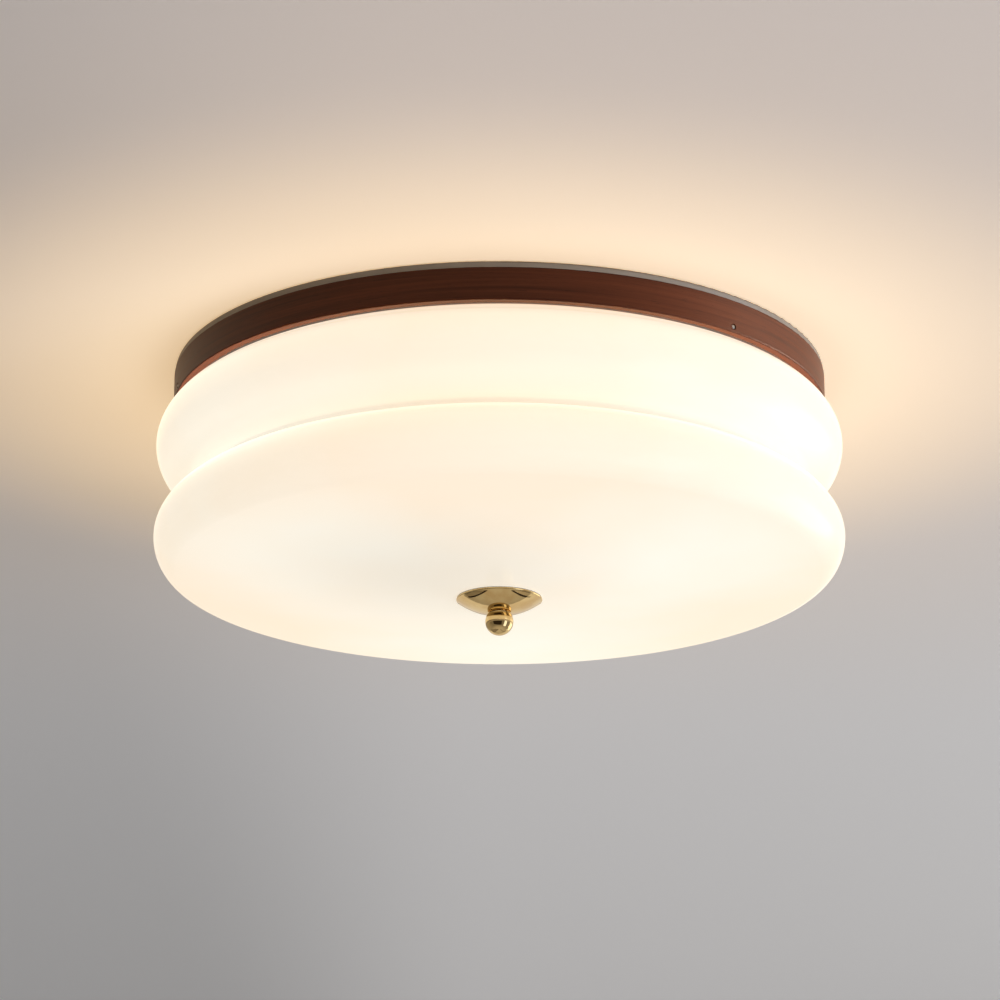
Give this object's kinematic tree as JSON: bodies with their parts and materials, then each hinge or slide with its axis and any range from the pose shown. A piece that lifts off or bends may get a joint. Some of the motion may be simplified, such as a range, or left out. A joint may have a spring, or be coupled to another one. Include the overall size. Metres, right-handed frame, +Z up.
{
  "type": "ceiling light",
  "caption": "Flush ceiling light: opal glass shade with stacked bulges under a walnut ring and steel pan, held by a brass dish and knob on a central rod, with screw-in bulbs.",
  "frame": {"origin": "middle of the crossbar on the ceiling plane", "axes": "+Z up into the ceiling, the light hangs towards -Z; -Y faces the picture's camera"},
  "size_m": [0.4202, 0.4202, 0.1648],
  "materials": {
    "grey_enamel": "grey powder coat",
    "zinc_plated_steel": "bright zinc plate",
    "polished_brass": "mirror polish",
    "nickel_plate": "bright nickel plate",
    "bulb_foot_plastic": "moulded",
    "bulb_diffuser": "opal",
    "bulb_plastic": "moulded",
    "black_rubber": "matt",
    "silicone": "clear matt",
    "contact_brass": "stamped",
    "porcelain": "glazed",
    "lead_brown": "extruded",
    "lead_blue": "extruded",
    "opal_glass": "polished opal glass, lit from inside",
    "terminal_plastic": "moulded",
    "walnut": "dark oiled walnut"
  },
  "bodies": {
    "base": {"base_pan": "grey_enamel", "block_fixings": "zinc_plated_steel", "bracket_nuts": "zinc_plated_steel", "bracket_screws": "zinc_plated_steel", "cable_grommet": "black_rubber", "ceiling_crossbar": "zinc_plated_steel", "centre_rod": "zinc_plated_steel", "crossbar_studs": "zinc_plated_steel", "earth_screw": "contact_brass", "earth_washer": "contact_brass", "holder_bracket_1": "zinc_plated_steel", "holder_bracket_2": "zinc_plated_steel", "holder_bracket_3": "zinc_plated_steel", "holder_contact_1": "contact_brass", "holder_contact_2": "contact_brass", "holder_contact_3": "contact_brass", "holder_screws": "zinc_plated_steel", "holder_sleeve_1": "nickel_plate", "holder_sleeve_2": "nickel_plate", "holder_sleeve_3": "nickel_plate", "lamp_holder_1": "porcelain", "lamp_holder_2": "porcelain", "lamp_holder_3": "porcelain", "live_leads": "lead_brown", "neutral_leads": "lead_blue", "ring_screws": "zinc_plated_steel", "ring_tabs": "zinc_plated_steel", "rod_nuts": "zinc_plated_steel", "rod_washers": "zinc_plated_steel", "stud_cap_nuts": "zinc_plated_steel", "stud_washers": "zinc_plated_steel", "terminal_block": "terminal_plastic", "terminal_screws": "contact_brass", "walnut_ring": "walnut"},
    "bulb_1": {"bulb_foot_1": "bulb_foot_plastic", "bulb_cap_1": "nickel_plate", "bulb_housing_1": "bulb_plastic", "bulb_globe_1": "bulb_diffuser"},
    "bulb_2": {"bulb_foot_2": "bulb_foot_plastic", "bulb_cap_2": "nickel_plate", "bulb_housing_2": "bulb_plastic", "bulb_globe_2": "bulb_diffuser"},
    "bulb_3": {"bulb_foot_3": "bulb_foot_plastic", "bulb_cap_3": "nickel_plate", "bulb_housing_3": "bulb_plastic", "bulb_globe_3": "bulb_diffuser"},
    "shade": {"opal_glass_shade": "opal_glass", "rim_gasket": "silicone", "shade_bush": "silicone"},
    "dish": {"brass_dish": "polished_brass", "dish_gasket": "silicone"},
    "knob": {"brass_knob": "polished_brass"}
  },
  "joints": [
    {"name": "shade_drop", "type": "slide", "parent": "base", "child": "shade", "axis": [0, 0, -1], "range_m": [0, 0.16]},
    {"name": "dish_lower", "type": "slide", "parent": "shade", "child": "dish", "axis": [0, 0, -1], "range_m": [0, 0.01063]},
    {"name": "knob_turn", "type": "hinge", "parent": "dish", "child": "knob", "pos_m": [0, 0, -0.156], "axis": [0, 0, -1], "range_deg": [0, 3060]},
    {"name": "bulb_1_unscrew", "type": "slide", "parent": "base", "child": "bulb_1", "axis": [0, 1, 0], "range_m": [0, 0.02]},
    {"name": "bulb_2_unscrew", "type": "slide", "parent": "base", "child": "bulb_2", "axis": [-0.866, -0.5, 0], "range_m": [0, 0.02]},
    {"name": "bulb_3_unscrew", "type": "slide", "parent": "base", "child": "bulb_3", "axis": [0.866, -0.5, 0], "range_m": [0, 0.02]}
  ],
  "couplings": [
    {"joint": "knob_turn", "follows": "dish_lower", "rad_per_m": 5026.5}
  ]
}
